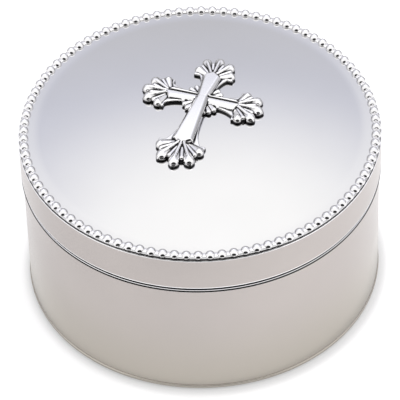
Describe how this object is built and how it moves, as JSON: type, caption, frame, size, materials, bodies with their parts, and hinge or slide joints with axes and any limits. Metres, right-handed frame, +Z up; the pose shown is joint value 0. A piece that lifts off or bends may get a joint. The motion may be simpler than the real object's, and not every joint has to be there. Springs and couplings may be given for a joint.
{
  "type": "rosary box",
  "caption": "Round metal keepsake box for a rosary, with a lift-off lid that carries a beaded border and a cast cross.",
  "frame": {"origin": "centre of the felt underside, where the box stands on a table", "axes": "+Z up along the round box's axis, out through the lid; -Y is the front, towards which the long arm of the cross points"},
  "size_m": [0.0828, 0.0828, 0.0462],
  "materials": {
    "silver_satin": "soft satin silver plate",
    "silver_polished": "polished silver plate",
    "silver_cast": "polished cast metal with dark recesses",
    "clip_steel": "spring steel",
    "velvet": "short-pile velvet",
    "felt": "pressed felt",
    "card": "grey board"
  },
  "bodies": {
    "box": {"base_felt": "felt", "base_plate": "silver_satin", "body_wall": "silver_satin", "seam_wire": "silver_polished", "collar": "silver_satin", "floor_card": "card", "floor_pad": "velvet", "wall_card": "card", "wall_lining": "velvet"},
    "lid": {"lid_skirt": "silver_satin", "lid_plate": "silver_polished", "bead_border": "silver_polished", "cross": "silver_cast", "cross_clips": "clip_steel", "lid_card": "card", "lid_lining": "velvet"}
  },
  "joints": [
    {"name": "lid_lift", "type": "slide", "parent": "box", "child": "lid", "axis": [0, 0, 1], "range_m": [0, 0.06]}
  ]
}
